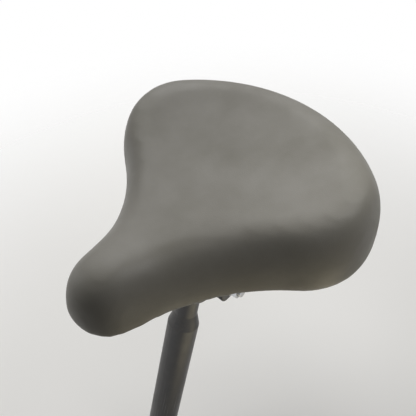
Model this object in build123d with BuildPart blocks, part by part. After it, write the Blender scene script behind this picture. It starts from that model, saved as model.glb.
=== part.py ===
from build123d import *
import math
import os

# A wide spring saddle of an electric city bicycle, on its own seatpost.
# +X points forwards along the bicycle, +Y to its left and +Z up, in millimetres.
# The origin is the centre of the seatpost's lower end, and the post leans back as the seat tube does.

# Seatpost
post_lean = 70.0  # degrees from the ground
post_length = 300.0
post_radius = 15.2
post_wall = 2.2
neck_radius = 11.1
neck_wall = 1.9
neck_length = 58.0
taper_length = 14.0
plug_depth = 14.0
plug_wall = 2.0
cap_height = 2.5
cap_depth = 8.0
plastic_clearance = 0.1

# Clip on the post: a split band with two ears, grooved plates and a cross bolt
band_below_top = 18.0  # from the post's upper end to the middle of the band
band_height = 26.0
band_wall = 2.4
band_slot = 3.0
ear_outer = 14.7  # from the middle plane to an ear's outer face
bolt_to_post = 22.0  # between their axes
bolt_radius = 4.0
bolt_clearance = 0.08
plate_length = 30.0
plate_below_bolt = 11.0
plate_above_rail = 8.5
plate_corner = 7.0
plate_clearance = 0.3
plate_gap = 1.2  # between an inner plate and its outer plate
outer_plate_thickness = 8.0
groove_clearance = 0.3
washer_radius = 8.0
washer_thickness = 1.6
hex_flats = 13.0
head_height = 5.3
nut_height = 6.5
bolt_overhang = 3.0
hex_chamfer = 0.7
plate_edge = 1.5
tooth_count = 24
tooth_length = 4.0
tooth_width = 0.9
tooth_depth = 0.6

# Rails: one bent wire
wire_radius = 3.5
rail_spacing = 44.0
rail_above_bolt = 9.5
rail_drop = 38.0  # from the saddle's rim plane down to the straight rails
bolt_from_rear = 130.0
straight_ahead = 34.0  # of the bolt
straight_behind = 33.0
rear_bend = 40.0
front_bend = 15.0
loop_entry_bend = 12.0
loop_bend = 9.5
rail_end_spacing = 84.0
rail_end_from_rear = 36.0
loop_spacing = 20.0
loop_from_tip = 37.0
loop_length = 24.0
loop_below_rim = 4.2

# Saddle outline in plan, from tangent arcs
saddle_length = 261.0
saddle_width = 244.0
nose_radius = 30.5
wing_radius = 56.0
waist_radius = 158.0
rear_radius = 148.0

# Saddle in side view: a dished top over an underside that rises towards the nose
dish_radius = 350.0
dish_from_rear = 157.0
dish_height = 59.0
nose_rise = 17.6
shoulder_radius = 21.5
fillet_share = 0.98  # of the nose's rounding that the shoulder may take
rim_roll = 12.0

# Moulded base in the padding's underside
rim_band = 18.0
base_depth = 17.0
base_wall = 3.0
base_inset = 1.0  # from the rim up to the base's edge
part_clearance = 0.3
rib_thickness = 2.4
rib_height = 7.0
rib_spacing = 32.0
rib_count = 5

# Rear springs between the base and a bridge plate on the rails
spring_radius = 13.5  # to the middle of the wire
spring_wire = 2.1
spring_pitch = 8.2
spring_spacing = 108.0
spring_from_rear = 53.0
seat_depth = 0.8
seat_clearance = 0.1
ring_clearance = 0.6
ring_wall = 2.4
ring_height = 7.0
collar_height = 5.0
weld_gap = 0.1
bridge_thickness = 2.5
bridge_length = 44.0
bridge_margin = 8.0  # beyond each spring
bridge_corner = 10.0
bridge_flange = 8.0
bridge_slot_length = 34.0
bridge_slot_width = 12.0

# Strap that holds the wire's loop under the nose
strap_thickness = 2.5
strap_length = 34.0
strap_width = 30.0
strap_corner = 8.0
boss_radius = 4.8
boss_gap = 1.7  # between a boss and the wire
screw_radius = 2.0
screw_depth = 12.0
screw_head_radius = 3.8
screw_head_height = 2.4

# Planes and heights that follow from these sizes
lean = math.radians(post_lean)
up_the_post = Vector(-math.cos(lean), 0, math.sin(lean))
across_the_post = Vector(math.sin(lean), 0, math.cos(lean))
post_plane = Plane(origin=(0, 0, 0), x_dir=across_the_post, z_dir=up_the_post)
band_plane = post_plane.offset(post_length - band_below_top)
bolt_centre = band_plane.origin - across_the_post * bolt_to_post
ear_plane = Plane(origin=bolt_centre, x_dir=across_the_post, z_dir=(0, -1, 0))
rear_x = bolt_centre.X - bolt_from_rear
rim_z = bolt_centre.Z + rail_above_bolt + rail_drop
saddle_plane = Plane(origin=(rear_x, 0, rim_z), z_dir=(0, 0, 1))
side_plane = Plane(origin=(rear_x, 0, rim_z), x_dir=(1, 0, 0), z_dir=(0, -1, 0))
underside_radius = saddle_length**2 / (2 * nose_rise)
rail_y = rail_spacing / 2
rail_z = -rail_drop
inner_plate_face = ear_outer + plate_clearance
outer_plate_face = rail_y + plate_gap / 2 + outer_plate_thickness
washer_face = outer_plate_face + washer_thickness
ceiling = base_depth - part_clearance - base_wall  # underside of the base's floor, above the rim
spring_seat = ceiling - seat_depth
bridge_top = rail_z + wire_radius + weld_gap + bridge_thickness
reach = saddle_length + saddle_width  # longer than any cut has to be


def rim_height(x):
    """Height of the underside above the saddle plane, x from the rearmost point."""
    return underside_radius - math.sqrt(underside_radius**2 - x**2)


loop_x = saddle_length - loop_from_tip
loop_z = rim_height(loop_x) - loop_below_rim
strap_top = loop_z - wire_radius - weld_gap
screw_from_loop = wire_radius + boss_gap + boss_radius

# Centres of the outline's arcs on the left half, seen from above
wing_y = saddle_width / 2 - wing_radius
wing_x = rear_radius - math.sqrt((rear_radius - wing_radius) ** 2 - wing_y**2)
rear_centre = Vector(rear_radius, 0)
wing_centre = Vector(wing_x, wing_y)
nose_centre = Vector(saddle_length - nose_radius, 0)
wing_to_nose = nose_centre - wing_centre
wing_side = wing_radius + waist_radius
nose_side = nose_radius + waist_radius
foot = (wing_side**2 - nose_side**2 + wing_to_nose.length**2) / (2 * wing_to_nose.length)
along = wing_to_nose.normalized()
aside = along.rotate(Axis.Z, 90) * math.sqrt(wing_side**2 - foot**2)
waist_centre = wing_centre + along * foot + aside


def heading(start, end):
    """Direction from one centre to another, in degrees."""
    return math.degrees(math.atan2(end.Y - start.Y, end.X - start.X))


def outline(margin):
    """The pear-shaped outline, drawn inside the true edge by the margin."""
    wing_start = heading(rear_centre, wing_centre)
    wing_end = heading(wing_centre, waist_centre)
    waist_start = heading(waist_centre, wing_centre) % 360
    waist_end = heading(waist_centre, nose_centre) % 360
    nose_start = heading(nose_centre, waist_centre)
    with BuildSketch() as sketch:
        with BuildLine():
            CenterArc(rear_centre, rear_radius - margin, 180, wing_start - 180)
            CenterArc(wing_centre, wing_radius - margin, wing_start, wing_end - wing_start)
            CenterArc(waist_centre, waist_radius + margin, waist_start, waist_end - waist_start)
            CenterArc(nose_centre, nose_radius - margin, nose_start, -nose_start)
            mirror(about=Plane.XZ)
        make_face()
    return sketch.sketch


def slab(margin, low, high):
    """The outline's column between two heights above the curved underside."""
    start = -rim_band
    end = saddle_length + rim_band
    middle = saddle_length / 2
    with BuildPart() as column:
        with BuildSketch(saddle_plane.offset(-reach)):
            add(outline(margin))
        extrude(amount=2 * reach)
        with BuildSketch(side_plane):
            with BuildLine():
                ThreePointArc(
                    (start, low + rim_height(start)),
                    (middle, low + rim_height(middle)),
                    (end, low + rim_height(end)),
                )
                Line((end, low + rim_height(end)), (end, high + rim_height(end)))
                ThreePointArc(
                    (end, high + rim_height(end)),
                    (middle, high + rim_height(middle)),
                    (start, high + rim_height(start)),
                )
                Line((start, high + rim_height(start)), (start, low + rim_height(start)))
            make_face()
        extrude(amount=reach, both=True, mode=Mode.INTERSECT)
    return column.part


pieces = []


def finish(part, name):
    """Label a finished piece and keep it for the export."""
    part.label = name
    pieces.append(part)


# Seatpost: a steel tube, necked at the top to the standard size of the clip
with BuildPart() as seatpost:
    with BuildSketch(Plane(origin=(0, 0, 0), x_dir=across_the_post, z_dir=(0, -1, 0))):
        with BuildLine():
            taper_start = post_length - neck_length - taper_length
            taper_end = post_length - neck_length
            Polyline(
                (post_radius - post_wall, 0),
                (post_radius, 0),
                (post_radius, taper_start),
                (neck_radius, taper_end),
                (neck_radius, post_length),
                (neck_radius - neck_wall, post_length),
                (neck_radius - neck_wall, taper_end),
                (post_radius - post_wall, taper_start),
                close=True,
            )
        make_face()
    revolve(axis=Axis((0, 0, 0), up_the_post))
finish(seatpost.part, "seatpost")

# Plug pressed into the lower end, flush with it
with BuildPart() as post_plug:
    plug_radius = post_radius - post_wall - plastic_clearance
    with BuildSketch(post_plane):
        Circle(plug_radius)
    extrude(amount=plug_depth)
    with BuildSketch(post_plane.offset(plug_wall)):
        Circle(plug_radius - plug_wall)
    extrude(amount=plug_depth, mode=Mode.SUBTRACT)
finish(post_plug.part, "post_plug")

# Cap on the upper end
with BuildPart() as post_cap:
    with BuildSketch(post_plane.offset(post_length)):
        Circle(neck_radius)
    extrude(amount=cap_height)
    fillet(post_cap.faces().sort_by(Axis((0, 0, 0), up_the_post))[-1].edges(), cap_height / 2)
    with BuildSketch(post_plane.offset(post_length)):
        Circle(neck_radius - neck_wall - plastic_clearance)
    extrude(amount=-cap_depth)
finish(post_cap.part, "post_cap")

tooth_middle = (band_height - tooth_length) / 2

# Split band around the neck, with two ears that reach back to the cross bolt
with BuildPart() as clip_band:
    with BuildSketch(band_plane.offset(-band_height / 2)):
        Circle(neck_radius + band_wall)
    extrude(amount=band_height)
    with BuildSketch(ear_plane):
        Circle(band_height / 2)
        with Locations((bolt_to_post / 2, 0)):
            Rectangle(bolt_to_post, band_height)
    extrude(amount=ear_outer, both=True)
    with BuildSketch(band_plane.offset(-band_height)):
        Circle(neck_radius + plastic_clearance)
    extrude(amount=2 * band_height, mode=Mode.SUBTRACT)
    with BuildSketch(ear_plane):
        with Locations((0, 0)):
            Rectangle(2 * bolt_to_post, 2 * band_height)
    extrude(amount=band_slot / 2, both=True, mode=Mode.SUBTRACT)
    with BuildSketch(ear_plane):
        Circle(bolt_radius + bolt_clearance)
    extrude(amount=ear_outer, both=True, mode=Mode.SUBTRACT)
    for side in (1, -1):
        with BuildSketch(ear_plane.offset(side * ear_outer)):
            with PolarLocations(tooth_middle, tooth_count):
                Rectangle(tooth_length, tooth_width)
        extrude(amount=-side * tooth_depth, mode=Mode.SUBTRACT)
finish(clip_band.part, "clip_band")

# Grooved plates that close on the rails, an inner and an outer one on each side
plate_low = -plate_below_bolt
plate_high = rail_above_bolt + plate_above_rail
plate_spans = {
    "inner": (inner_plate_face, rail_y - plate_gap / 2),
    "outer": (rail_y + plate_gap / 2, outer_plate_face),
}
for side, side_name in ((1, "left"), (-1, "right")):
    for place, (near, far) in plate_spans.items():
        plate_plane = Plane(origin=bolt_centre + Vector(0, side * near, 0), x_dir=(1, 0, 0), z_dir=(0, -1, 0))
        with BuildPart() as plate:
            with BuildSketch(plate_plane):
                with Locations((0, (plate_low + plate_high) / 2)):
                    RectangleRounded(plate_length, plate_high - plate_low, plate_corner)
            extrude(amount=-side * (far - near))
            with BuildSketch(plate_plane):
                Circle(bolt_radius + bolt_clearance)
            extrude(amount=-side * (far - near), mode=Mode.SUBTRACT)
            groove_centre = bolt_centre + Vector(-plate_length, side * rail_y, rail_above_bolt)
            with BuildSketch(Plane(origin=groove_centre, z_dir=(1, 0, 0))):
                Circle(wire_radius + groove_clearance)
            extrude(amount=2 * plate_length, mode=Mode.SUBTRACT)
            if place == "inner":
                with BuildSketch(plate_plane):
                    with PolarLocations(tooth_middle, tooth_count):
                        Rectangle(tooth_length, tooth_width)
                extrude(amount=-side * tooth_depth, mode=Mode.SUBTRACT)
            else:
                fillet(plate.faces().sort_by(Axis.Y)[-1 if side > 0 else 0].outer_wire().edges(), plate_edge)
        finish(plate.part, f"{place}_plate_{side_name}")

# Cross bolt with its hexagon head on the right, a washer on each side and a nut on the left
across_plane = Plane(origin=bolt_centre, x_dir=(1, 0, 0), z_dir=(0, 1, 0))
hex_radius = hex_flats / math.sqrt(3)
with BuildPart() as cross_bolt:
    with BuildSketch(across_plane.offset(-washer_face - head_height)):
        RegularPolygon(hex_radius, 6)
    extrude(amount=head_height)
    chamfer(cross_bolt.faces().sort_by(Axis.Y)[0].edges(), hex_chamfer)
    with BuildSketch(across_plane.offset(-washer_face)):
        Circle(bolt_radius)
    extrude(amount=2 * washer_face + nut_height + bolt_overhang)
finish(cross_bolt.part, "cross_bolt")

with BuildPart() as cross_nut:
    with BuildSketch(across_plane.offset(washer_face)):
        RegularPolygon(hex_radius, 6)
        Circle(bolt_radius + bolt_clearance, mode=Mode.SUBTRACT)
    extrude(amount=nut_height)
    chamfer(cross_nut.faces().sort_by(Axis.Y)[-1].outer_wire().edges(), hex_chamfer)
finish(cross_nut.part, "cross_nut")

for side, side_name in ((1, "left"), (-1, "right")):
    with BuildPart() as washer:
        with BuildSketch(across_plane.offset(side * outer_plate_face)):
            Circle(washer_radius)
            Circle(bolt_radius + bolt_clearance, mode=Mode.SUBTRACT)
        extrude(amount=side * washer_thickness)
    finish(washer.part, f"washer_{side_name}")

# Rails: one wire from the left rear end, round the loop under the nose, to the right rear end
rail_corners = (
    (rail_end_from_rear, rail_end_spacing / 2, rail_z),
    (bolt_from_rear - straight_behind, rail_y, rail_z),
    (bolt_from_rear + straight_ahead, rail_y, rail_z),
    (loop_x - loop_length, loop_spacing / 2, loop_z),
    (loop_x, loop_spacing / 2, loop_z),
)
left_side = [saddle_plane.from_local_coords(corner) for corner in rail_corners]
right_side = [Vector(corner.X, -corner.Y, corner.Z) for corner in reversed(left_side)]
bends = [rear_bend, front_bend, loop_entry_bend, loop_bend]
with BuildPart() as rails:
    with BuildLine() as wire_path:
        FilletPolyline(*left_side, *right_side, radius=bends + bends[::-1])
    with BuildSketch(Plane(origin=left_side[0], z_dir=left_side[1] - left_side[0])):
        Circle(wire_radius)
    sweep(path=wire_path.wires()[0])
finish(rails.part, "rails")

# Bridge plate across the rails' rear ends, with a collar inside each spring
spring_places = [(spring_from_rear, side * spring_spacing / 2) for side in (1, -1)]
bridge_width = spring_spacing + 2 * (spring_radius + spring_wire + bridge_margin)
with BuildPart() as bridge_plate:
    with BuildSketch(saddle_plane.offset(bridge_top)):
        with Locations((spring_from_rear, 0)):
            RectangleRounded(bridge_length, bridge_width, bridge_corner)
            SlotOverall(bridge_slot_length, bridge_slot_width, rotation=90, mode=Mode.SUBTRACT)
    extrude(amount=-bridge_thickness)
    with BuildSketch(saddle_plane.offset(bridge_top)):
        with Locations((spring_from_rear - (bridge_length - bridge_thickness) / 2, 0)):
            Rectangle(bridge_thickness, bridge_width - 2 * bridge_corner)
    extrude(amount=-bridge_flange)
    with BuildSketch(saddle_plane.offset(bridge_top)):
        with Locations(*spring_places):
            Circle(spring_radius - spring_wire - ring_clearance)
    extrude(amount=collar_height)
finish(bridge_plate.part, "bridge_plate")

# Coil springs with ground ends
spring_height = spring_seat - bridge_top - 2 * seat_clearance
for (spring_x, spring_y), side_name in zip(spring_places, ("left", "right")):
    foot_point = saddle_plane.from_local_coords((spring_x, spring_y, bridge_top + seat_clearance))
    with BuildPart() as spring:
        with BuildLine() as coil:
            Helix(
                pitch=spring_pitch,
                height=spring_height + spring_pitch,
                radius=spring_radius,
                center=foot_point - Vector(0, 0, spring_pitch / 2),
            )
        with BuildSketch(Plane(origin=coil.edges()[0] @ 0, z_dir=coil.edges()[0] % 0)):
            Circle(spring_wire)
        sweep(path=coil.wires()[0], is_frenet=True)
        with BuildSketch(Plane(origin=foot_point, z_dir=(0, 0, 1))):
            Circle(spring_radius + 2 * spring_wire)
        extrude(amount=spring_height, mode=Mode.INTERSECT)
    finish(spring.part, f"spring_{side_name}")

# Moulded base: a tray with its floor up, ribs, spring seats and the bosses of the nose strap
tray = slab(rim_band + part_clearance, base_inset, base_depth - part_clearance)
inside = slab(rim_band + part_clearance, -rail_drop, base_depth - part_clearance)
hollow = slab(rim_band + part_clearance + base_wall, -rail_drop, ceiling)
rib_zone = slab(rim_band + part_clearance + base_wall / 2, ceiling - rib_height, ceiling + base_wall / 2)
with BuildPart() as rib_grid:
    with BuildSketch(saddle_plane.offset(-rail_drop)):
        for count in range(rib_count):
            with Locations((spring_from_rear + count * rib_spacing, 0)):
                Rectangle(rib_thickness, saddle_width)
        with Locations((saddle_length / 2, rail_y), (saddle_length / 2, -rail_y)):
            Rectangle(saddle_length, rib_thickness)
    extrude(amount=2 * reach)
    add(rib_zone, mode=Mode.INTERSECT)
screw_places = [(loop_x + end * screw_from_loop, 0) for end in (-1, 1)]
ring_bore = spring_radius + spring_wire + ring_clearance
with BuildPart() as fittings:
    with BuildSketch(saddle_plane.offset(spring_seat - ring_height)):
        with Locations(*spring_places):
            Circle(ring_bore + ring_wall)
    extrude(amount=ring_height + seat_depth + base_wall)
    with BuildSketch(saddle_plane.offset(loop_z + wire_radius + weld_gap)):
        with Locations((loop_x, 0)):
            Rectangle(strap_length - strap_corner, loop_spacing + wire_radius)
    extrude(amount=rim_height(saddle_length) + base_depth)
    with BuildSketch(saddle_plane.offset(strap_top)):
        with Locations(*screw_places):
            Circle(boss_radius)
    extrude(amount=rim_height(saddle_length) + base_depth)
    add(inside, mode=Mode.INTERSECT)
with BuildPart() as base_shell:
    add(tray)
    add(hollow, mode=Mode.SUBTRACT)
    add(rib_grid.part)
    add(fittings.part)
    with BuildSketch(saddle_plane.offset(spring_seat - ring_height)):
        with Locations(*spring_places):
            Circle(ring_bore)
    extrude(amount=ring_height, mode=Mode.SUBTRACT)
    with BuildSketch(saddle_plane.offset(strap_top)):
        with Locations(*screw_places):
            Circle(screw_radius + plastic_clearance)
    extrude(amount=screw_depth, mode=Mode.SUBTRACT)
finish(base_shell.part, "base_shell")

# Nose strap under the wire's loop, with two screws into the base
with BuildPart() as nose_strap:
    with BuildSketch(saddle_plane.offset(strap_top)):
        with Locations((loop_x, 0)):
            RectangleRounded(strap_length, strap_width, strap_corner)
        with Locations(*screw_places):
            Circle(screw_radius + plastic_clearance, mode=Mode.SUBTRACT)
    extrude(amount=-strap_thickness)
finish(nose_strap.part, "nose_strap")

for (screw_x, screw_y), end_name in zip(screw_places, ("rear", "front")):
    with BuildPart() as screw:
        with BuildSketch(saddle_plane.offset(strap_top - strap_thickness)):
            with Locations((screw_x, screw_y)):
                Circle(screw_head_radius)
        extrude(amount=-screw_head_height)
        with BuildSketch(saddle_plane.offset(strap_top - strap_thickness)):
            with Locations((screw_x, screw_y)):
                Circle(screw_radius)
        extrude(amount=screw_depth)
    finish(screw.part, f"nose_screw_{end_name}")

# Padding and its cover: the whole upper body of the saddle, with a pocket for the base
dish_centre = saddle_plane.from_local_coords((dish_from_rear, 0, dish_height + dish_radius))
nose_slope = math.asin((saddle_length - dish_from_rear) / dish_radius)
shoulder_limit = nose_radius * math.tan((math.pi / 2 - nose_slope) / 2) * fillet_share
with BuildPart() as saddle_pad:
    add(slab(0, 0, dish_height + saddle_width / 2))
    with Locations(dish_centre):
        Sphere(dish_radius, mode=Mode.SUBTRACT)
    fillet(saddle_pad.faces().filter_by(GeomType.SPHERE).edges(), min(shoulder_radius, shoulder_limit))
    fillet(saddle_pad.faces().filter_by(GeomType.CYLINDER).sort_by(Axis.Z)[0].edges(), rim_roll)
    add(slab(rim_band, -rail_drop, base_depth), mode=Mode.SUBTRACT)
finish(saddle_pad.part, "saddle_pad")

os.makedirs("parts", exist_ok=True)
for piece in pieces:
    export_step(piece, f"parts/{piece.label}.step")
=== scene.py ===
import bmesh
import bpy
import math
import random
from mathutils import Matrix, Vector
from mathutils.bvhtree import BVHTree


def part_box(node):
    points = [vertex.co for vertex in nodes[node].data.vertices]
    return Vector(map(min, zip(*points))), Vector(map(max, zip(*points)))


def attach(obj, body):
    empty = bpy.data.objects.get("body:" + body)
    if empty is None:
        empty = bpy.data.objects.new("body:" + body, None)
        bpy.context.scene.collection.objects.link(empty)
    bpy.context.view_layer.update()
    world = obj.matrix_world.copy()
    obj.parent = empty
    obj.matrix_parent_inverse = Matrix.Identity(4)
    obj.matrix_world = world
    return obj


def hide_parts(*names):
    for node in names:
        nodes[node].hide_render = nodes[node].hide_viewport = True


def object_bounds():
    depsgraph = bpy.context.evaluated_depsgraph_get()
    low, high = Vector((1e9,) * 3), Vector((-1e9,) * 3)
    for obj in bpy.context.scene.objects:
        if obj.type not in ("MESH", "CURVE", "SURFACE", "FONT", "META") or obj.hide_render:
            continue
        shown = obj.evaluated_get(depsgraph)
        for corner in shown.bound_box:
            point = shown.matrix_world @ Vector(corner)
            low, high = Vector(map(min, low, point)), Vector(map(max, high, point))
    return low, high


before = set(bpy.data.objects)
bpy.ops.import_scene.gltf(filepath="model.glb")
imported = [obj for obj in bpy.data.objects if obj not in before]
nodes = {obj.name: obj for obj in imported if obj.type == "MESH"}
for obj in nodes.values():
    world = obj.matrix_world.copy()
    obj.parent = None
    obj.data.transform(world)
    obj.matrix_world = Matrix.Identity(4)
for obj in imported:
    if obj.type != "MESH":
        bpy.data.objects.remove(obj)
cad_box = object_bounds()


# The seatpost is a steel tube, necked at its upper end and painted satin black.
# It slides up and down in its mount, which leaves fine upright scratches in the paint.
def new_finish(name):
    """A new material, with its node tree and its Principled shader."""
    material = bpy.data.materials.new(name)
    material.use_nodes = True
    tree = material.node_tree
    return material, tree, tree.nodes["Principled BSDF"]


def feed(tree, value, target):
    """Link a socket to another one, or set a plain value or colour on it."""
    if isinstance(value, bpy.types.NodeSocket):
        tree.links.new(value, target)
    elif target.type == "RGBA":
        target.default_value = (*value, 1.0)
    else:
        target.default_value = value


def new_group(name, **inputs):
    """A shader node group with a named input for each value, and its mask as the one output."""
    group = bpy.data.node_groups.new(name, "ShaderNodeTree")
    for socket_name, value in inputs.items():
        socket = group.interface.new_socket(socket_name, in_out="INPUT", socket_type="NodeSocketFloat")
        socket.default_value = value
    group.interface.new_socket("Mask", in_out="OUTPUT", socket_type="NodeSocketFloat")
    given = group.nodes.new("NodeGroupInput").outputs
    mask = group.nodes.new("NodeGroupOutput").inputs["Mask"]
    return group, given, mask


def place_group(tree, group, **values):
    """The mask of a group that is placed in a material, with its own values on the named inputs."""
    node = tree.nodes.new("ShaderNodeGroup")
    node.node_tree = group
    for socket_name, value in values.items():
        node.inputs[socket_name].default_value = value
    return node.outputs["Mask"]


def math_node(tree, operation, first, second):
    """A Math node of two values or sockets."""
    node = tree.nodes.new("ShaderNodeMath")
    node.operation = operation
    feed(tree, first, node.inputs[0])
    feed(tree, second, node.inputs[1])
    return node.outputs["Value"]


def spread(tree, value, start, end, low=0.0, high=1.0):
    """Spread the stretch of a value from start to end over low to high, and hold it beyond them."""
    node = tree.nodes.new("ShaderNodeMapRange")
    feed(tree, value, node.inputs["Value"])
    feed(tree, start, node.inputs["From Min"])
    feed(tree, end, node.inputs["From Max"])
    feed(tree, low, node.inputs["To Min"])
    feed(tree, high, node.inputs["To Max"])
    return node.outputs["Result"]


def own_place(tree):
    """The coordinates of the piece itself, so that a pattern stays on it as it moves."""
    return tree.nodes.new("ShaderNodeTexCoord").outputs["Object"]


def noise(tree, place, scale, detail, roughness=0.5):
    """Soft noise, from 0 to 1."""
    texture = tree.nodes.new("ShaderNodeTexNoise")
    feed(tree, place, texture.inputs["Vector"])
    feed(tree, scale, texture.inputs["Scale"])
    feed(tree, detail, texture.inputs["Detail"])
    feed(tree, roughness, texture.inputs["Roughness"])
    return texture.outputs["Fac"]


def blend_colour(tree, mask, first, second):
    """Mix two colours, or a colour and a socket, by a mask."""
    tone = tree.nodes.new("ShaderNodeMix")
    tone.data_type = "RGBA"
    feed(tree, mask, tone.inputs["Factor"])
    feed(tree, first, tone.inputs["A"])
    feed(tree, second, tone.inputs["B"])
    return tone.outputs["Result"]


def emboss(tree, shader, height, strength, distance):
    """Let a height show as fine relief."""
    relief = tree.nodes.new("ShaderNodeBump")
    feed(tree, strength, relief.inputs["Strength"])
    feed(tree, distance, relief.inputs["Distance"])
    feed(tree, height, relief.inputs["Height"])
    feed(tree, relief.outputs["Normal"], shader.inputs["Normal"])


def build_mottle():
    """Soft cloudiness, for the unevenness of paint, plating, plastic and vinyl."""
    group, given, mask = new_group("mottle", Size=40.0, Low=0.0, High=1.0)
    clouds = noise(group, own_place(group), given["Size"], detail=4.0, roughness=0.62)
    feed(group, spread(group, clouds, start=0.3, end=0.7, low=given["Low"], high=given["High"]), mask)
    return group


mottle = build_mottle()


def build_edge_wear():
    """A mask of the edges and corners where paint rubs thin, broken up by noise."""
    group, given, mask = new_group("edge wear", Width=0.0008, Amount=0.6)
    rounded = group.nodes.new("ShaderNodeBevel")
    rounded.samples = 6
    feed(group, given["Width"], rounded.inputs["Radius"])
    flat = group.nodes.new("ShaderNodeNewGeometry")
    turn = group.nodes.new("ShaderNodeVectorMath")
    turn.operation = "DOT_PRODUCT"
    feed(group, rounded.outputs["Normal"], turn.inputs[0])
    feed(group, flat.outputs["Normal"], turn.inputs[1])
    edge = spread(group, turn.outputs["Value"], start=0.985, end=0.85)
    chips = noise(group, own_place(group), scale=130.0, detail=8.0, roughness=0.7)
    worn = math_node(group, "MULTIPLY", edge, spread(group, chips, start=0.5, end=0.66))
    feed(group, math_node(group, "MULTIPLY", worn, given["Amount"]), mask)
    return group


edge_wear = build_edge_wear()


def build_dust():
    """A mask of the fine street dust that settles on faces that look up, thicker in patches."""
    group, given, mask = new_group("dust", Amount=0.3)
    surface = group.nodes.new("ShaderNodeNewGeometry")
    facing = group.nodes.new("ShaderNodeSeparateXYZ")
    feed(group, surface.outputs["Normal"], facing.inputs["Vector"])
    upward = spread(group, facing.outputs["Z"], start=0.1, end=1.0)
    patches = noise(group, own_place(group), scale=90.0, detail=6.0, roughness=0.7)
    layer = math_node(group, "MULTIPLY", upward, spread(group, patches, start=0.35, end=0.7))
    feed(group, math_node(group, "MULTIPLY", layer, given["Amount"]), mask)
    return group


dust = build_dust()
dust_colour = (0.2, 0.18, 0.15)


def painted_steel(name, colour, rough, bare, wear, streaks=None):
    """Black paint on steel, a little uneven and dusty, rubbed to bare metal along its edges."""
    material, tree, shader = new_finish(name)
    cloud = place_group(tree, mottle, Size=55.0, Low=rough - 0.05, High=rough + 0.07)
    rubbed = place_group(tree, edge_wear, Amount=wear)
    if streaks:
        rubbed = math_node(tree, "MAXIMUM", rubbed, place_group(tree, streaks))
    dusty = place_group(tree, dust, Amount=0.35)
    paint = blend_colour(tree, rubbed, colour, bare)
    feed(tree, blend_colour(tree, dusty, paint, dust_colour), shader.inputs["Base Color"])
    feed(tree, math_node(tree, "ADD", cloud, dusty), shader.inputs["Roughness"])
    feed(tree, rubbed, shader.inputs["Metallic"])
    spray = noise(tree, own_place(tree), scale=900.0, detail=3.0)
    emboss(tree, shader, spray, strength=0.12, distance=0.0002)
    return material


def dress(material, *node_names):
    """Give CAD nodes their finish."""
    for node_name in node_names:
        for slot in nodes[node_name].material_slots:
            slot.material = material


post_lean = math.radians(70.0)
post_radius = 0.0152
up_the_post = Vector((-math.cos(post_lean), 0, math.sin(post_lean)))
post_front = Vector((math.sin(post_lean), 0, math.cos(post_lean)))
scratch_stretch = (1.0, 1.0, 0.02)


def build_insertion_streaks():
    """A mask of fine scratches along the lower post, where it has slid in its mount."""
    group, given, mask = new_group("insertion streaks", Strength=0.5, Reach=0.16)
    upright = group.nodes.new("ShaderNodeVectorRotate")
    upright.rotation_type = "Y_AXIS"
    upright.inputs["Angle"].default_value = math.pi / 2 - post_lean
    feed(group, own_place(group), upright.inputs["Vector"])
    drawn = group.nodes.new("ShaderNodeVectorMath")
    drawn.operation = "MULTIPLY"
    feed(group, upright.outputs["Vector"], drawn.inputs[0])
    feed(group, scratch_stretch, drawn.inputs[1])
    lines = noise(group, drawn.outputs["Vector"], scale=1100.0, detail=2.0)
    height = group.nodes.new("ShaderNodeSeparateXYZ")
    feed(group, upright.outputs["Vector"], height.inputs["Vector"])
    fade = spread(group, height.outputs["Z"], start=given["Reach"], end=0.0)
    streaks = math_node(group, "MULTIPLY", spread(group, lines, start=0.6, end=0.68), fade)
    feed(group, math_node(group, "MULTIPLY", streaks, given["Strength"]), mask)
    return group


post_paint = painted_steel(
    "post_paint",
    colour=(0.018, 0.018, 0.02),
    rough=0.38,
    bare=(0.45, 0.45, 0.46),
    wear=0.5,
    streaks=build_insertion_streaks(),
)
dress(post_paint, "seatpost")


# A row of short silver strokes is printed across the front of the post, to show how deep it has to sit
# in its mount. The ink has rubbed thin in places.
def new_piece(name, mesh, material, body):
    """Make an object of a bmesh, with its finish, and let it ride on a body."""
    data = bpy.data.meshes.new(name)
    mesh.to_mesh(data)
    mesh.free()
    piece = bpy.data.objects.new(name, data)
    bpy.context.scene.collection.objects.link(piece)
    data.materials.append(material)
    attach(piece, body)
    return piece


def printed_ink():
    """Silver printing ink with worn gaps."""
    material, tree, shader = new_finish("printed_ink")
    worn = place_group(tree, mottle, Size=900.0, Low=0.0, High=1.0)
    ink = blend_colour(tree, worn, (0.5, 0.5, 0.5), (0.2, 0.2, 0.2))
    feed(tree, ink, shader.inputs["Base Color"])
    shader.inputs["Roughness"].default_value = 0.55
    return material


stroke_count = 13
stroke_angle = math.radians(9.0)
stroke_width = 0.0011
stroke_height = 0.009
stroke_place = 0.075
ink_lift = 0.00005
strokes = bmesh.new()
for count in range(stroke_count):
    middle = (count - (stroke_count - 1) / 2) * stroke_angle
    half = stroke_width / 2 / post_radius
    corners = []
    for angle, height in ((-half, 0), (half, 0), (half, stroke_height), (-half, stroke_height)):
        turned = post_front * math.cos(middle + angle) + Vector((0, 1, 0)) * math.sin(middle + angle)
        place = turned * (post_radius + ink_lift) + up_the_post * (stroke_place + height)
        corners.append(strokes.verts.new(place))
    strokes.faces.new(corners)
new_piece("insertion_marks", strokes, printed_ink(), "seatpost")


# Two mouldings close the tube: a plug pressed into the lower end and a cap on the upper end.
# Both are black polyamide with the faint texture of the mould.
def cells(tree, scale):
    """A Voronoi node of small cells over the piece."""
    texture = tree.nodes.new("ShaderNodeTexVoronoi")
    feed(tree, scale, texture.inputs["Scale"])
    feed(tree, own_place(tree), texture.inputs["Vector"])
    return texture


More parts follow.
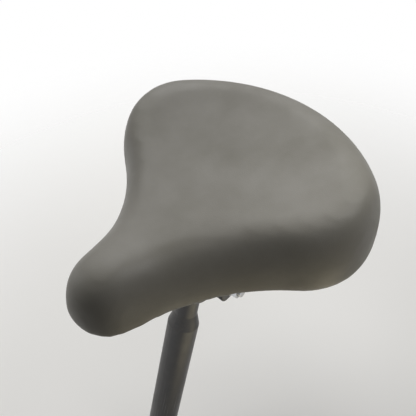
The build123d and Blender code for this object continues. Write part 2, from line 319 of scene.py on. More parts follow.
def moulded_plastic(name, colour, rough, texture, depth):
    """Moulded plastic: even colour, a spark-eroded texture and cloudy gloss."""
    material, tree, shader = new_finish(name)
    cloud = place_group(tree, mottle, Size=70.0, Low=rough - 0.06, High=rough + 0.08)
    dusty = place_group(tree, dust, Amount=0.3)
    feed(tree, blend_colour(tree, dusty, colour, dust_colour), shader.inputs["Base Color"])
    feed(tree, math_node(tree, "ADD", cloud, dusty), shader.inputs["Roughness"])
    emboss(tree, shader, cells(tree, texture).outputs["Distance"], strength=0.25, distance=depth)
    return material


cap_plastic = moulded_plastic("cap_plastic", (0.022, 0.022, 0.023), rough=0.5, texture=1400.0, depth=0.0001)
dress(cap_plastic, "post_plug", "post_cap")


# The clip is pressed steel: a split band round the post's neck with two ears, and four grooved plates
# that the cross bolt squeezes onto the rails. It is painted, and rubbed bright on its corners.
clip_paint = painted_steel(
    "clip_paint",
    colour=(0.024, 0.024, 0.026),
    rough=0.42,
    bare=(0.34, 0.34, 0.35),
    wear=0.6,
)
dress(clip_paint, "clip_band", "inner_plate_left", "inner_plate_right")
dress(clip_paint, "outer_plate_left", "outer_plate_right")


# One cross bolt with a nut and two washers holds the clip, and two screws hold the nose strap.
# All are steel with bright zinc plating, slightly cloudy.
def build_painted_shade():
    """A mask of painted shade in corners, grooves and threads, where little light reaches."""
    group, given, mask = new_group("painted_shade", Reach=0.0015)
    corners = group.nodes.new("ShaderNodeAmbientOcclusion")
    corners.samples = 8
    feed(group, given["Reach"], corners.inputs["Distance"])
    feed(group, spread(group, corners.outputs["AO"], start=0.95, end=0.45), mask)
    return group


painted_shade = build_painted_shade()
# The near-black brown of the painted shade in corners and grooves.
painted_shade_colour = (0.03, 0.026, 0.02)
dull_share = 0.86


def plated_steel(name, colour, rough, cloudiness):
    """Plated metal with cloudy gloss, darker patches, and painted shade in its corners that also dulls the
    metal.
    """
    material, tree, shader = new_finish(name)
    gloss = place_group(tree, mottle, Size=120.0, Low=rough - cloudiness, High=rough + cloudiness)
    feed(tree, gloss, shader.inputs["Roughness"])
    patches = place_group(tree, mottle, Size=45.0, Low=0.0, High=1.0)
    dull = tuple(value * dull_share for value in colour)
    plating = blend_colour(tree, patches, dull, colour)
    # Painted shade: corners, grooves and threads are darkened to near-black brown and made less metallic.
    shaded_corners = place_group(tree, painted_shade)
    feed(tree, blend_colour(tree, shaded_corners, plating, painted_shade_colour), shader.inputs["Base Color"])
    feed(tree, math_node(tree, "SUBTRACT", 1.0, shaded_corners), shader.inputs["Metallic"])
    return material


zinc = plated_steel("zinc", (0.52, 0.53, 0.55), rough=0.3, cloudiness=0.07)
dress(zinc, "cross_nut", "washer_left", "washer_right")


# The cross bolt is made of steel, with a hexagon head whose corners are turned off by a cone.
# The thread at its other end takes the nut, which draws the plates together.
def turned_piece(name, rings, material, body):
    """A closed piece from rings of points: the first and last ring are closed with a fan."""
    mesh = bmesh.new()
    rows = [[mesh.verts.new(point) for point in ring] for ring in rings]
    for upper, lower in zip(rows, rows[1:]):
        for index in range(len(upper)):
            after = (index + 1) % len(upper)
            mesh.faces.new([upper[index], upper[after], lower[after], lower[index]])
    for row in (rows[0], rows[-1]):
        middle = mesh.verts.new(sum((vertex.co for vertex in row), Vector()) / len(row))
        for index in range(len(row)):
            mesh.faces.new([middle, row[index], row[(index + 1) % len(row)]])
    bmesh.ops.recalc_face_normals(mesh, faces=mesh.faces)
    return new_piece(name, mesh, material, body)


bolt_low, bolt_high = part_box("cross_bolt")
bolt_middle = (bolt_low + bolt_high) / 2
bolt_length = bolt_high.y - bolt_low.y
bolt_radius = 0.004
head_height = 0.0053
head_flat = 0.0065
head_cone = 0.0062
head_cone_slope = 1.7
head_rows = (0.0, 0.0003, 0.0006, 0.001, 0.0015)
head_step = 1e-5
thread_pitch = 0.00125
thread_depth = 0.0006
thread_length = 0.012
thread_end_slope = 1.0
thread_rows_per_turn = 8
bolt_points = 72


def hexagon(angle):
    """Distance from the bolt's axis to the side of its hexagon head, with corners along X."""
    from_side = (angle % (math.pi / 3)) - math.pi / 6
    return head_flat / math.cos(from_side)


def bolt_radius_at(angle, along):
    """The bolt's radius at an angle and at a distance from the head's outer face."""
    if along <= head_height:
        return min(hexagon(angle), head_cone + head_cone_slope * along)
    to_end = bolt_length - along
    if to_end > thread_length:
        return bolt_radius
    turn = (along / thread_pitch + angle / (2 * math.pi)) % 1
    groove = thread_depth * (1 - abs(2 * turn - 1))
    return min(bolt_radius - groove, bolt_radius - thread_depth + thread_end_slope * to_end)


def cross_bolt_rings():
    """Rings from the head's outer face to the end of the thread."""
    thread_start = bolt_length - thread_length
    thread_rows = int(thread_length / thread_pitch * thread_rows_per_turn)
    rows = [*head_rows, head_height, head_height + head_step, thread_start]
    rows += [thread_start + thread_length * row / thread_rows for row in range(1, thread_rows + 1)]
    rings = []
    for along in rows:
        ring = []
        for count in range(bolt_points):
            angle = 2 * math.pi * count / bolt_points
            reach = bolt_radius_at(angle, along)
            ring.append(Vector((
                bolt_middle.x + reach * math.cos(angle),
                bolt_low.y + along,
                bolt_middle.z + reach * math.sin(angle),
            )))
        rings.append(ring)
    return rings


threaded_bolt = turned_piece("threaded_bolt", cross_bolt_rings(), zinc, "rail_clamp")
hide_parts("cross_bolt")


# The strap's two screws are steel, with domed heads and a cross recess for a screwdriver.
# They go up through the nose strap into bosses of the base.
screw_head_height = 0.0024
screw_dome_edge = 0.0006
shank_share = 0.52
recess_depth = 0.0014
recess_half_width = 0.0005
recess_reach = 0.0021
recess_wall = 0.0004
screw_points = 64
dome_rows = 22


def recess(x, y):
    """Depth of the cross recess under the dome, with sloping walls."""
    deepest = 0.0
    for along, aside in ((x, y), (y, x)):
        side = min(max((recess_half_width + recess_wall - abs(aside)) / recess_wall, 0), 1)
        end = min(max((recess_reach - abs(along)) / recess_wall, 0), 1)
        deepest = max(deepest, side * end)
    return recess_depth * deepest


def screw_rings(node_name):
    """Rings from the middle of the domed head out to its rim and up the shank."""
    low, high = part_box(node_name)
    middle = (low + high) / 2
    head_radius = (high.x - low.x) / 2
    shank_radius = head_radius * shank_share
    profile = []
    for row in range(1, dome_rows + 1):
        reach = head_radius * row / dome_rows
        dome = (screw_head_height - screw_dome_edge) * (reach / head_radius) ** 2
        profile.append((reach, low.z + dome, 1))
    profile.append((head_radius, low.z + screw_head_height, 0))
    profile.append((shank_radius, low.z + screw_head_height, 0))
    profile.append((shank_radius, high.z, 0))
    rings = []
    for reach, height, on_dome in profile:
        ring = []
        for count in range(screw_points):
            angle = 2 * math.pi * count / screw_points
            x, y = reach * math.cos(angle), reach * math.sin(angle)
            ring.append(Vector((middle.x + x, middle.y + y, height + on_dome * recess(x, y))))
        rings.append(ring)
    return rings


screw_heads = {"nose_screw_front": "crosshead_front", "nose_screw_rear": "crosshead_rear"}
for node_name, head_name in screw_heads.items():
    screw = turned_piece(head_name, screw_rings(node_name), zinc, "saddle")
    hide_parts(node_name)


# The rails are one steel wire, bent cold into a loop under the nose and painted gloss black.
# The clip grips their straight runs, and their rear ends are welded to the bridge plate.
wire_paint = painted_steel(
    "wire_paint",
    colour=(0.02, 0.02, 0.021),
    rough=0.3,
    bare=(0.5, 0.5, 0.51),
    wear=0.3,
)
dress(wire_paint, "rails")


# The bridge plate is pressed from sheet and laid across the rails' ends, under the springs. A rippled
# weld bead runs along each side of both wires, and the whole is painted after welding. The nose strap
# is pressed from the same sheet.
dress(clip_paint, "bridge_plate", "nose_strap")

pad_low, pad_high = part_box("saddle_pad")
rails_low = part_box("rails")[0]
wire_radius = 0.0035
wire_end = Vector((0.036, 0.042))
wire_bend = Vector((0.097, 0.022))
bead_radius = 0.0019
bead_drop = 0.0010
bead_aside = 0.0033
bead_start = 0.006
bead_length = 0.02
bead_pitch = 0.0013
bead_ripple = 0.16
bead_unevenness = 0.07
bead_points = 14
rows_per_ripple = 6
ripple_power = 0.7
blunt_power = 8
blunt_least = 0.02


def weld_bead(name, side, hand):
    """A rippled bead in the corner between the wire and the plate's underside, blunt at both ends."""
    along = (wire_bend - wire_end).normalized()
    aside = Vector((-along.y, along.x)) * hand
    height = rails_low.z + 2 * wire_radius - bead_drop
    steps = int(bead_length / bead_pitch * rows_per_ripple)
    wobble = random.Random(name)
    drift = [wobble.uniform(-1, 1) for ripple in range(steps // rows_per_ripple + 2)]
    rings = []
    for step in range(steps + 1):
        place = wire_end + along * (bead_start + bead_length * step / steps) + aside * bead_aside
        from_middle = abs(2 * step / steps - 1)
        blunt = math.sqrt(max(1 - from_middle**blunt_power, blunt_least))
        ripple = 1 - bead_ripple * abs(math.sin(math.pi * step / rows_per_ripple)) ** ripple_power
        size = bead_radius * blunt * ripple * (1 + bead_unevenness * drift[step // rows_per_ripple])
        ring = []
        for count in range(bead_points):
            angle = 2 * math.pi * count / bead_points
            out = place + aside * math.cos(angle) * size
            ring.append(Vector((pad_low.x + out.x, side * out.y, height + math.sin(angle) * size)))
        rings.append(ring)
    bead = turned_piece(name, rings, clip_paint, "saddle")
    bead.data.shade_smooth()


for side, side_name in ((1, "left"), (-1, "right")):
    for hand, hand_name in ((1, "outer"), (-1, "inner")):
        weld_bead(f"weld_{side_name}_{hand_name}", side, hand)


# The two springs are wound from steel wire, with ground ends, and plated bright.
# They stand on the bridge plate, and the base's rings hold their upper ends.
spring_finish = plated_steel("spring_finish", (0.7, 0.7, 0.71), rough=0.2, cloudiness=0.05)
dress(spring_finish, "spring_left", "spring_right")


# The base is a black polypropylene moulding with ribs, screw bosses and a ring round each spring.
# It carries the pad, on the springs at the rear and on the rails' loop at the nose.
base_plastic = moulded_plastic("base_plastic", (0.02, 0.02, 0.02), rough=0.55, texture=900.0, depth=0.0002)
dress(base_plastic, "base_shell")


# The pad is one body of soft foam, moulded on the base, under a seamless skin of matt charcoal vinyl
# that is stretched over it, wrapped round the lower edge and stapled beneath.
pad_length = pad_high.x - pad_low.x
half_width = pad_high.y
nose_radius = 0.0305
wing_radius = 0.056
waist_radius = 0.158
rear_radius = 0.148
skin_steps = 26


def pad_outline(steps):
    """Points and outward directions round the left half, from the rear to the nose's tip."""
    wing_y = half_width - wing_radius
    wing_x = rear_radius - math.sqrt((rear_radius - wing_radius) ** 2 - wing_y**2)
    rear, wing = Vector((rear_radius, 0)), Vector((wing_x, wing_y))
    nose = Vector((pad_length - nose_radius, 0))
    to_nose = nose - wing
    wing_side, nose_side = wing_radius + waist_radius, nose_radius + waist_radius
    foot = (wing_side**2 - nose_side**2 + to_nose.length_squared) / (2 * to_nose.length)
    along = to_nose.normalized()
    waist = wing + along * foot + Vector((-along.y, along.x)) * math.sqrt(wing_side**2 - foot**2)

    def heading(start, end):
        return math.atan2(end.y - start.y, end.x - start.x)

    arcs = [
        (rear, rear_radius, math.pi, heading(rear, wing), 1),
        (wing, wing_radius, heading(rear, wing), heading(wing, waist), 1),
        (waist, waist_radius, heading(waist, wing), heading(waist, nose), -1),
        (nose, nose_radius, heading(nose, waist), 0.0, 1),
    ]
    places = []
    for centre, radius, first, last, outward in arcs:
        turn = (last - first + math.pi) % (2 * math.pi) - math.pi
        for step in range(steps):
            angle = first + turn * step / steps
            direction = Vector((math.cos(angle), math.sin(angle)))
            places.append((centre + direction * radius, direction * outward))
    places.append((Vector((pad_length, 0)), Vector((1, 0))))
    return places


crown_height = 0.0604
rear_rise = 0.0297
nose_lift = 0.0135
low_point = 0.45
wing_lift = 0.0152
wing_lift_at = 0.1
crown_rows = 5
shoulder_width = 0.0455
shoulder_width_rear = 0.032
shoulder_turn_start = 0.09
shoulder_turn_end = 0.17
shoulder_depth = 0.0487
shoulder_power = 2.8
shoulder_fall = 0.6
shoulder_rows = 18
nose_reach = 0.0432
rim_tuck = 0.0148
tuck_start = 0.43
rim_rise = 0.0176
rim_sink = 0.0018
wall_rows = 14
outline_gain = 0.0015
border_width = 0.0028
pocket_depth = 0.016
merge_distance = 1e-5
tiny = 1e-6


def crown(x, y):
    """Height of the stretched top above the rim plane, before it turns down at the shoulder."""
    share = x / pad_length
    rear_part = (share - low_point) * (share - 1) / low_point
    nose_part = share * (share - low_point) / (1 - low_point)
    dish = wing_lift * (y / wing_lift_at) ** 2
    return crown_height + rear_rise * rear_part + nose_lift * nose_part + dish


def ease(value, start, end):
    """A smooth step from 0 at the start to 1 at the end."""
    share = min(max((value - start) / (end - start), 0), 1)
    return share * share * (3 - 2 * share)


def shoulder_drop(share):
    """How far the shoulder has turned down, from nothing at the crown to its full depth at the side."""
    return shoulder_depth * (1 - max(1 - share**shoulder_power, 0) ** shoulder_fall)


def rim_height(x):
    """Height of the base's and the pad's lower edge, which rises towards the nose."""
    return rim_rise * (x / pad_length) ** 2


def shoulder_reach(x):
    """Width of the shoulder in plan, narrower round the back than along the sides."""
    along_side = ease(x, shoulder_turn_start, shoulder_turn_end)
    return shoulder_width_rear + (shoulder_width - shoulder_width_rear) * along_side


def pad_rings():
    """Rings of the left half from the spine over the shoulder, down the side and under the rim."""
    places = [(point + outward * outline_gain, outward) for point, outward in pad_outline(skin_steps)]
    spine_start = low_point * pad_length
    spine_end = pad_length - nose_reach
    spine = [Vector((min(max(point.x, spine_start), spine_end), 0)) for point, outward in places]
    turns = []
    for (point, outward), middle in zip(places, spine):
        inward = middle - point
        turns.append(point + inward * min(shoulder_reach(point.x) / max(inward.length, tiny), 1))
    rings = []
    for row in range(crown_rows):
        flat = [middle.lerp(turn, row / crown_rows) for middle, turn in zip(spine, turns)]
        rings.append([Vector((place.x, place.y, crown(place.x, place.y))) for place in flat])
    for row in range(shoulder_rows + 1):
        share = math.sin(row / shoulder_rows * math.pi / 2)
        ring = []
        for (point, outward), turn in zip(places, turns):
            place = turn.lerp(point, share)
            ring.append(Vector((place.x, place.y, crown(place.x, place.y) - shoulder_drop(share))))
        rings.append(ring)
    edge = rings[-1]
    for row in range(1, wall_rows + 1):
        share = row / wall_rows
        tuck = rim_tuck * max(0, (share - tuck_start) / (1 - tuck_start)) ** 2
        ring = []
        for (point, outward), top in zip(places, edge):
            place = point - outward * tuck
            bottom = rim_height(place.x) - rim_sink
            ring.append(Vector((place.x, place.y, top.z + (bottom - top.z) * share)))
        rings.append(ring)
    for depth in (-rim_sink, pocket_depth):
        ring = []
        for point, outward in places:
            place = point - outward * (rim_tuck + border_width)
            ring.append(Vector((place.x, place.y, rim_height(place.x) + depth)))
        rings.append(ring)
    rings.append([Vector((middle.x, 0, rim_height(middle.x) + pocket_depth)) for middle in spine])
    return rings


def closed_skin(name, rings):
    """A mesh through the rings, mirrored to the right half and merged along the middle."""
    mesh = bmesh.new()
    origin = Vector((pad_low.x, 0, pad_low.z))
    for side in (1, -1):
        rows = [[mesh.verts.new(origin + Vector((p.x, side * p.y, p.z))) for p in ring] for ring in rings]
        for upper, lower in zip(rows, rows[1:]):
            for index in range(len(upper) - 1):
                corners = [upper[index], upper[index + 1], lower[index + 1], lower[index]]
                mesh.faces.new(corners if side > 0 else corners[::-1])
    bmesh.ops.remove_doubles(mesh, verts=mesh.verts, dist=merge_distance)
    bmesh.ops.dissolve_degenerate(mesh, edges=mesh.edges, dist=tiny)
    bmesh.ops.recalc_face_normals(mesh, faces=mesh.faces)
    data = bpy.data.meshes.new(name)
    mesh.to_mesh(data)
    mesh.free()
    piece = bpy.data.objects.new(name, data)
    bpy.context.scene.collection.objects.link(piece)
    return piece


def apply_modifiers(piece):
    """Keep the piece's evaluated shape as its own mesh."""
    graph = bpy.context.evaluated_depsgraph_get()
    shaped = bpy.data.meshes.new_from_object(piece.evaluated_get(graph))
    piece.modifiers.clear()
    piece.data = shaped


swell_frames = 20
swell_pressure = 4.0
swell_cap = 0.0014
least_move = 1e-9
smoothings = 40
drawn_in = 0.0006
hold_height = 0.004
free_height = 0.02
under_facing = -0.5


def hold_rim(piece):
    """A vertex group that holds the stapled rim and the pocket, and lets go towards the top."""
    group = piece.vertex_groups.new(name="hold")
    for vertex in piece.data.vertices:
        height = vertex.co.z - pad_low.z - rim_height(vertex.co.x - pad_low.x)
        weight = (free_height - height) / (free_height - hold_height)
        if vertex.normal.z < under_facing:
            weight = 1.0
        group.add([vertex.index], min(max(weight, 0.0), 1.0), "REPLACE")
    return group


def stretch_cloth(piece, group):
    """Make the skin a cloth with pressure behind it, and give each point's place once it has settled."""
    cloth = piece.modifiers.new("cloth", "CLOTH")
    cloth.settings.quality = 6
    cloth.settings.mass = 0.35
    cloth.settings.tension_stiffness = 80.0
    cloth.settings.compression_stiffness = 80.0
    cloth.settings.shear_stiffness = 40.0
    cloth.settings.bending_stiffness = 10.0
    cloth.settings.vertex_group_mass = group.name
    cloth.settings.use_pressure = True
    cloth.settings.uniform_pressure_force = swell_pressure
    cloth.settings.effector_weights.gravity = 0.0
    cloth.point_cache.frame_start = 1
    cloth.point_cache.frame_end = swell_frames
    scene = bpy.context.scene
    for count in range(1, swell_frames + 1):
        scene.frame_set(count)
    settled = piece.evaluated_get(bpy.context.evaluated_depsgraph_get()).data
    places = [vertex.co.copy() for vertex in settled.vertices]
    scene.frame_set(1)
    piece.modifiers.remove(cloth)
    return places


def swell(piece):
    """Draw the skin in a little, let the cloth stretch back, and keep its moves even and small."""
    group = hold_rim(piece)
    points = piece.data.vertices
    loose = [1 - group.weight(point.index) for point in points]
    homes = [point.co - point.normal * drawn_in * free for point, free in zip(points, loose)]
    for point, home in zip(points, homes):
        point.co = home
    moves = [place - home for place, home in zip(stretch_cloth(piece, group), homes)]
    neighbours = [[] for point in piece.data.vertices]
    for edge in piece.data.edges:
        first, second = edge.vertices
        neighbours[first].append(second)
        neighbours[second].append(first)
    for smoothing in range(smoothings):
        moves = [
            (move + sum((moves[near] for near in nearby), Vector())) / (1 + len(nearby))
            for move, nearby in zip(moves, neighbours)
        ]
    for point, home, move, free in zip(piece.data.vertices, homes, moves, loose):
        length = max(move.length, least_move)
        point.co = home + move * free * min(length, swell_cap) / length


skin = closed_skin("pad_skin", pad_rings())
remesh = skin.modifiers.new("remesh", "REMESH")
remesh.mode = "VOXEL"
remesh.voxel_size = 0.004
apply_modifiers(skin)
smooth = skin.modifiers.new("smooth", "CORRECTIVE_SMOOTH")
smooth.iterations = 6
smooth.use_only_smooth = True
apply_modifiers(skin)
swell(skin)
subdivide = skin.modifiers.new("subdivide", "SUBSURF")
subdivide.levels = 1
subdivide.render_levels = 1
apply_modifiers(skin)
skin.data.shade_smooth()
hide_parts("saddle_pad")
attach(skin, "saddle")


def vinyl():
    """Matt synthetic leather: fine calf grain, cloudy sheen from handling and a few specks of dust."""
    material, tree, shader = new_finish("cover_vinyl")
    shader.inputs["Specular IOR Level"].default_value = 0.25
    cloud = place_group(tree, mottle, Size=16.0, Low=0.0, High=1.0)
    tone = blend_colour(tree, cloud, (0.098, 0.093, 0.078), (0.123, 0.117, 0.103))
    grains = cells(tree, scale=300.0)
    size = spread(tree, grains.outputs["Distance"], start=0.1, end=0.05)
    pick = tree.nodes.new("ShaderNodeSeparateColor")
    feed(tree, grains.outputs["Color"], pick.inputs["Color"])
    few = spread(tree, pick.outputs["Red"], start=0.55, end=1.0, high=0.8)
    specks = math_node(tree, "MULTIPLY", size, few)
    feed(tree, blend_colour(tree, specks, tone, dust_colour), shader.inputs["Base Color"])
    feed(tree, place_group(tree, mottle, Size=24.0, Low=0.4, High=0.6), shader.inputs["Roughness"])
    emboss(tree, shader, cells(tree, scale=1500.0).outputs["Distance"], strength=0.42, distance=0.0001)
    return material


cover_vinyl = vinyl()
skin.data.materials.clear()
skin.data.materials.append(cover_vinyl)


# Beneath, the vinyl's edge is pulled round the rim and stapled to the base. The cut edge is a little
# wavy, and the vinyl gathers into small pleats where the outline bends tightly.
hem_steps = 60
hem_start = 0.0135
hem_end = 0.0208
hem_thickness = 0.0006
hem_wave = 0.0008
hem_wave_counts = (5, 9, 16, 27)
hem_wave_shift = 7
hem_rows = 7
base_edge = 0.001
base_wall_start = 0.018
probe_depth = 0.02
pleat_height = 0.0005
pleat_pitch = 0.0065
gentle_bend = 9.0
tight_bend = 26.0


def whole_outline():
    """The whole outline as (point, outward direction, distance along it, curvature), rear to rear."""
    left = pad_outline(hem_steps)
    right = [(Vector((point.x, -point.y)), Vector((out.x, -out.y))) for point, out in left[-2:0:-1]]
    places = left + right
    travelled = 0.0
    stations = []
    for index, (point, outward) in enumerate(places):
        after, after_outward = places[(index + 1) % len(places)]
        gap = max((after - point).length, tiny)
        stations.append((point, outward, travelled, outward.angle(after_outward) / gap))
        travelled += gap
    return stations, travelled


def hem_height(underside, place, inset):
    """Height of the hem's upper face: against the skin's underside, then under the base's edge."""
    start = Vector((pad_low.x + place.x, place.y, pad_low.z - probe_depth))
    hit = underside.ray_cast(start, Vector((0, 0, 1)))[0]
    under_base = pad_low.z + rim_height(place.x) + base_edge
    if inset >= base_wall_start or hit is None:
        return under_base
    share = ease(inset, hem_start, base_wall_start)
    return hit.z + (under_base - hit.z) * share


def hem_strip(underside):
    """A closed strip of vinyl along the rim's underside, pleated at the bends and wavy at its cut edge."""
    stations, whole = whole_outline()
    waves = [(random.Random(number).uniform(0, hem_wave_shift), number) for number in hem_wave_counts]
    pleats = round(whole / pleat_pitch)
    rings = []
    for point, outward, along, bend in stations:
        turn = 2 * math.pi * along / whole
        wave = hem_wave / len(waves) * sum(math.sin(number * turn + start) for start, number in waves)
        tightness = ease(bend, gentle_bend, tight_bend)
        pleat = pleat_height * tightness * max(math.sin(pleats * turn), 0) ** 2
        upper, lower = [], []
        for row in range(hem_rows):
            share = row / (hem_rows - 1)
            inset = hem_start + (hem_end + wave - hem_start) * share
            place = point - outward * inset
            height = hem_height(underside, place, inset)
            under = height - hem_thickness - pleat * share
            upper.append(Vector((pad_low.x + place.x, place.y, height)))
            lower.append(Vector((pad_low.x + place.x, place.y, under)))
        rings.append(upper + lower[::-1])
    mesh = bmesh.new()
    rows = [[mesh.verts.new(corner) for corner in ring] for ring in rings]
    for index, row in enumerate(rows):
        after = rows[(index + 1) % len(rows)]
        for corner in range(len(row)):
            following = (corner + 1) % len(row)
            mesh.faces.new([row[corner], row[following], after[following], after[corner]])
    bmesh.ops.recalc_face_normals(mesh, faces=mesh.faces)
    hem = new_piece("vinyl_hem", mesh, cover_vinyl, "saddle")
    hem.data.shade_smooth()


hem_strip(BVHTree.FromObject(skin, bpy.context.evaluated_depsgraph_get()))


# Flat steel staples hold the hem against the base's edge, all the way round.
# They are shot in by hand, and so they stand not quite in line.
staple_inset = 0.0196
staple_spacing = 0.021
staple_crown = 0.009
staple_leg = 0.0024
staple_bend = 0.0004
staple_width = 0.0011
staple_thickness = 0.0006
staple_sunk = staple_thickness / 3
staple_round = 0.00012
staple_skew = math.radians(7.0)
staple_drift = 0.0005
staple_seed = 3


def staple_mesh(mesh, centre, along, inward):
    """One staple: a flat wire with its legs bent up into the base."""
    half = staple_crown / 2
    path = [(-half, staple_leg), (-half, staple_bend), (-half + staple_bend, 0.0)]
    path += [(-place, height) for place, height in reversed(path)]
    rows = []
    for index, (place, height) in enumerate(path):
        before = Vector(path[max(index - 1, 0)])
        after = Vector(path[min(index + 1, len(path) - 1)])
        way = (after - before).normalized()
        facing = Vector((way.y, -way.x))
        row = []
        for width, depth in ((-0.5, -0.5), (0.5, -0.5), (0.5, 0.5), (-0.5, 0.5)):
            flat = Vector((place, height)) + facing * depth * staple_thickness
            corner = centre + along * flat.x + Vector((0, 0, flat.y)) + inward * width * staple_width
            row.append(mesh.verts.new(corner))
        rows.append(row)
    for first, second in zip(rows, rows[1:]):
        for corner in range(4):
            following = (corner + 1) % 4
            mesh.faces.new([first[corner], first[following], second[following], second[corner]])
    mesh.faces.new(rows[0])
    mesh.faces.new(rows[-1][::-1])


def staples():
    """The row of staples round the base."""
    stations, whole = whole_outline()
    count = round(whole / staple_spacing)
    hand = random.Random(staple_seed)
    mesh = bmesh.new()
    for number in range(count):
        goal = whole * (number + 0.5) / count
        point, outward, travelled, bend = min(stations, key=lambda station: abs(station[2] - goal))
        skew = hand.uniform(-staple_skew, staple_skew)
        inset = staple_inset + hand.uniform(-staple_drift, staple_drift)
        place = point - outward * inset
        height = pad_low.z + rim_height(place.x) + base_edge - hem_thickness - staple_sunk
        turned = Matrix.Rotation(skew, 2) @ outward
        inward = Vector((-turned.x, -turned.y, 0))
        along = Vector((-turned.y, turned.x, 0))
        staple_mesh(mesh, Vector((pad_low.x + place.x, place.y, height)), along, inward)
    bmesh.ops.recalc_face_normals(mesh, faces=mesh.faces)
    bmesh.ops.bevel(mesh, geom=mesh.edges, offset=staple_round, segments=2, affect="EDGES", profile=0.5)
    new_piece("staples", mesh, zinc, "saddle")


staples()


# The studio: a pale floor just under the post's lower end, which fades into a white room, soft boxes
# behind, overhead and near both wings, and a low warm glow from beneath. The camera, metal and glass
# see the room as plain white, and from below the floor is clear.
floor_half = 1.6
floor_drop = 0.001
floor_middle = Vector(((cad_box[0].x + cad_box[1].x) / 2, 0, cad_box[0].z - floor_drop))
fade_start = 0.25
fade_end = 0.9
floor_data = bpy.data.meshes.new("floor")
floor_signs = ((-1, -1), (1, -1), (1, 1), (-1, 1))
floor_corners = [floor_middle + Vector((x, y, 0)) * floor_half for x, y in floor_signs]
floor_data.from_pydata(floor_corners, [], [(0, 1, 2, 3)])
floor = bpy.data.objects.new("floor", floor_data)
bpy.context.scene.collection.objects.link(floor)
floor_paint, floor_tree, floor_shader = new_finish("floor_paint")
floor_shader.inputs["Base Color"].default_value = (0.9, 0.89, 0.87, 1.0)
floor_shader.inputs["Roughness"].default_value = 0.9
floor_shader.inputs["Specular IOR Level"].default_value = 0.1
from_middle = floor_tree.nodes.new("ShaderNodeVectorMath")
from_middle.operation = "DISTANCE"
feed(floor_tree, own_place(floor_tree), from_middle.inputs[0])
feed(floor_tree, floor_middle, from_middle.inputs[1])
fade = floor_tree.nodes.new("ShaderNodeMapRange")
fade.interpolation_type = "SMOOTHSTEP"
feed(floor_tree, from_middle.outputs["Value"], fade.inputs["Value"])
feed(floor_tree, fade_start, fade.inputs["From Min"])
feed(floor_tree, fade_end, fade.inputs["From Max"])
floor_side = floor_tree.nodes.new("ShaderNodeNewGeometry")
clearness = math_node(floor_tree, "MAXIMUM", fade.outputs["Result"], floor_side.outputs["Backfacing"])
clear = floor_tree.nodes.new("ShaderNodeBsdfTransparent")
either = floor_tree.nodes.new("ShaderNodeMixShader")
feed(floor_tree, clearness, either.inputs["Fac"])
feed(floor_tree, floor_shader.outputs["BSDF"], either.inputs[1])
feed(floor_tree, clear.outputs["BSDF"], either.inputs[2])
feed(floor_tree, either.outputs["Shader"], floor_tree.nodes["Material Output"].inputs["Surface"])
floor_data.materials.append(floor_paint)

sky_level = 0.04
world = bpy.data.worlds.new("world")
bpy.context.scene.world = world
world.use_nodes = True
sky = world.node_tree
dim = sky.nodes["Background"]
feed(sky, (1.0, 0.99, 0.97), dim.inputs["Color"])
feed(sky, sky_level, dim.inputs["Strength"])
plain = sky.nodes.new("ShaderNodeBackground")
feed(sky, (1.0, 1.0, 1.0), plain.inputs["Color"])
feed(sky, 1.0, plain.inputs["Strength"])
path = sky.nodes.new("ShaderNodeLightPath")
seen = math_node(sky, "MAXIMUM", path.outputs["Is Camera Ray"], path.outputs["Is Transmission Ray"])
seen = math_node(sky, "MAXIMUM", seen, path.outputs["Is Glossy Ray"])
choice = sky.nodes.new("ShaderNodeMixShader")
feed(sky, seen, choice.inputs["Fac"])
feed(sky, dim.outputs["Background"], choice.inputs[1])
feed(sky, plain.outputs["Background"], choice.inputs[2])
feed(sky, choice.outputs["Shader"], sky.nodes["World Output"].inputs["Surface"])

saddle_middle = Vector((pad_low.x + pad_length / 2, 0, pad_low.z))


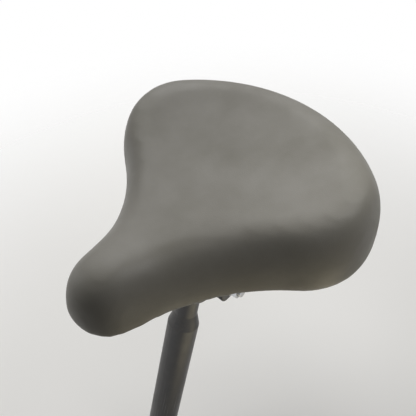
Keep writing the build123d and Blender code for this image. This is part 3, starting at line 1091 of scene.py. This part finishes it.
def lamp(name, turn, rise, distance, size, power, colour):
    """A square soft box that looks at the saddle from a direction, both angles in degrees."""
    light = bpy.data.lights.new(name, "AREA")
    light.size = size
    light.energy = power
    light.color = colour
    holder = bpy.data.objects.new(name, light)
    bpy.context.scene.collection.objects.link(holder)
    holder.visible_camera = False
    level = math.cos(math.radians(rise))
    way = Vector((
        math.cos(math.radians(turn)) * level,
        math.sin(math.radians(turn)) * level,
        math.sin(math.radians(rise)),
    ))
    holder.location = saddle_middle + way * distance
    holder.rotation_mode = "QUATERNION"
    holder.rotation_quaternion = (-way).to_track_quat("-Z", "Y")
    return holder


lamp("overhead", turn=245, rise=52, distance=1.6, size=1.3, power=20.5, colour=(1.0, 1.0, 0.99))
lamp("behind", turn=205, rise=42, distance=1.6, size=1.0, power=7.0, colour=(1.0, 1.0, 1.0))
lamp("over_left_wing", turn=122, rise=54, distance=0.3, size=0.2, power=0.5, colour=(1.0, 1.0, 1.0))
lamp("beside_right_wing", turn=310, rise=25, distance=0.5, size=0.3, power=0.6, colour=(1.0, 1.0, 1.0))
glow = lamp("floor_glow", turn=75, rise=-38, distance=0.5, size=0.4, power=0.9, colour=(1.0, 0.88, 0.6))
glow.rotation_quaternion = Vector((0, 0, 1)).to_track_quat("-Z", "Y")


# The camera stands where the photograph was taken: ahead of the saddle, to its left and above it.
# It is rolled a little, as it was held by hand.
camera_place = Vector((0.3159, 0.2031, 0.3340))
camera_aim = Vector((0.1273, 0.0036, 0.0374))
camera_roll = math.radians(-5.0)
camera_angle = math.radians(45.23)
forward = (camera_aim - camera_place).normalized()
level_right = forward.cross(Vector((0, 0, 1))).normalized()
level_up = level_right.cross(forward)
right = level_right * math.cos(camera_roll) + level_up * math.sin(camera_roll)
upward = level_up * math.cos(camera_roll) - level_right * math.sin(camera_roll)
camera_data = bpy.data.cameras.new("camera")
camera_data.sensor_width = 36.0
camera_data.lens = camera_data.sensor_width / 2 / math.tan(camera_angle / 2)
camera_data.clip_start = 0.01
camera = bpy.data.objects.new("camera", camera_data)
bpy.context.scene.collection.objects.link(camera)
facing = Matrix((right, upward, -forward)).transposed().to_4x4()
camera.matrix_world = Matrix.Translation(Vector((pad_low.x, 0, pad_low.z)) + camera_place) @ facing
bpy.context.scene.camera = camera
bpy.context.scene.view_settings.view_transform = "Standard"
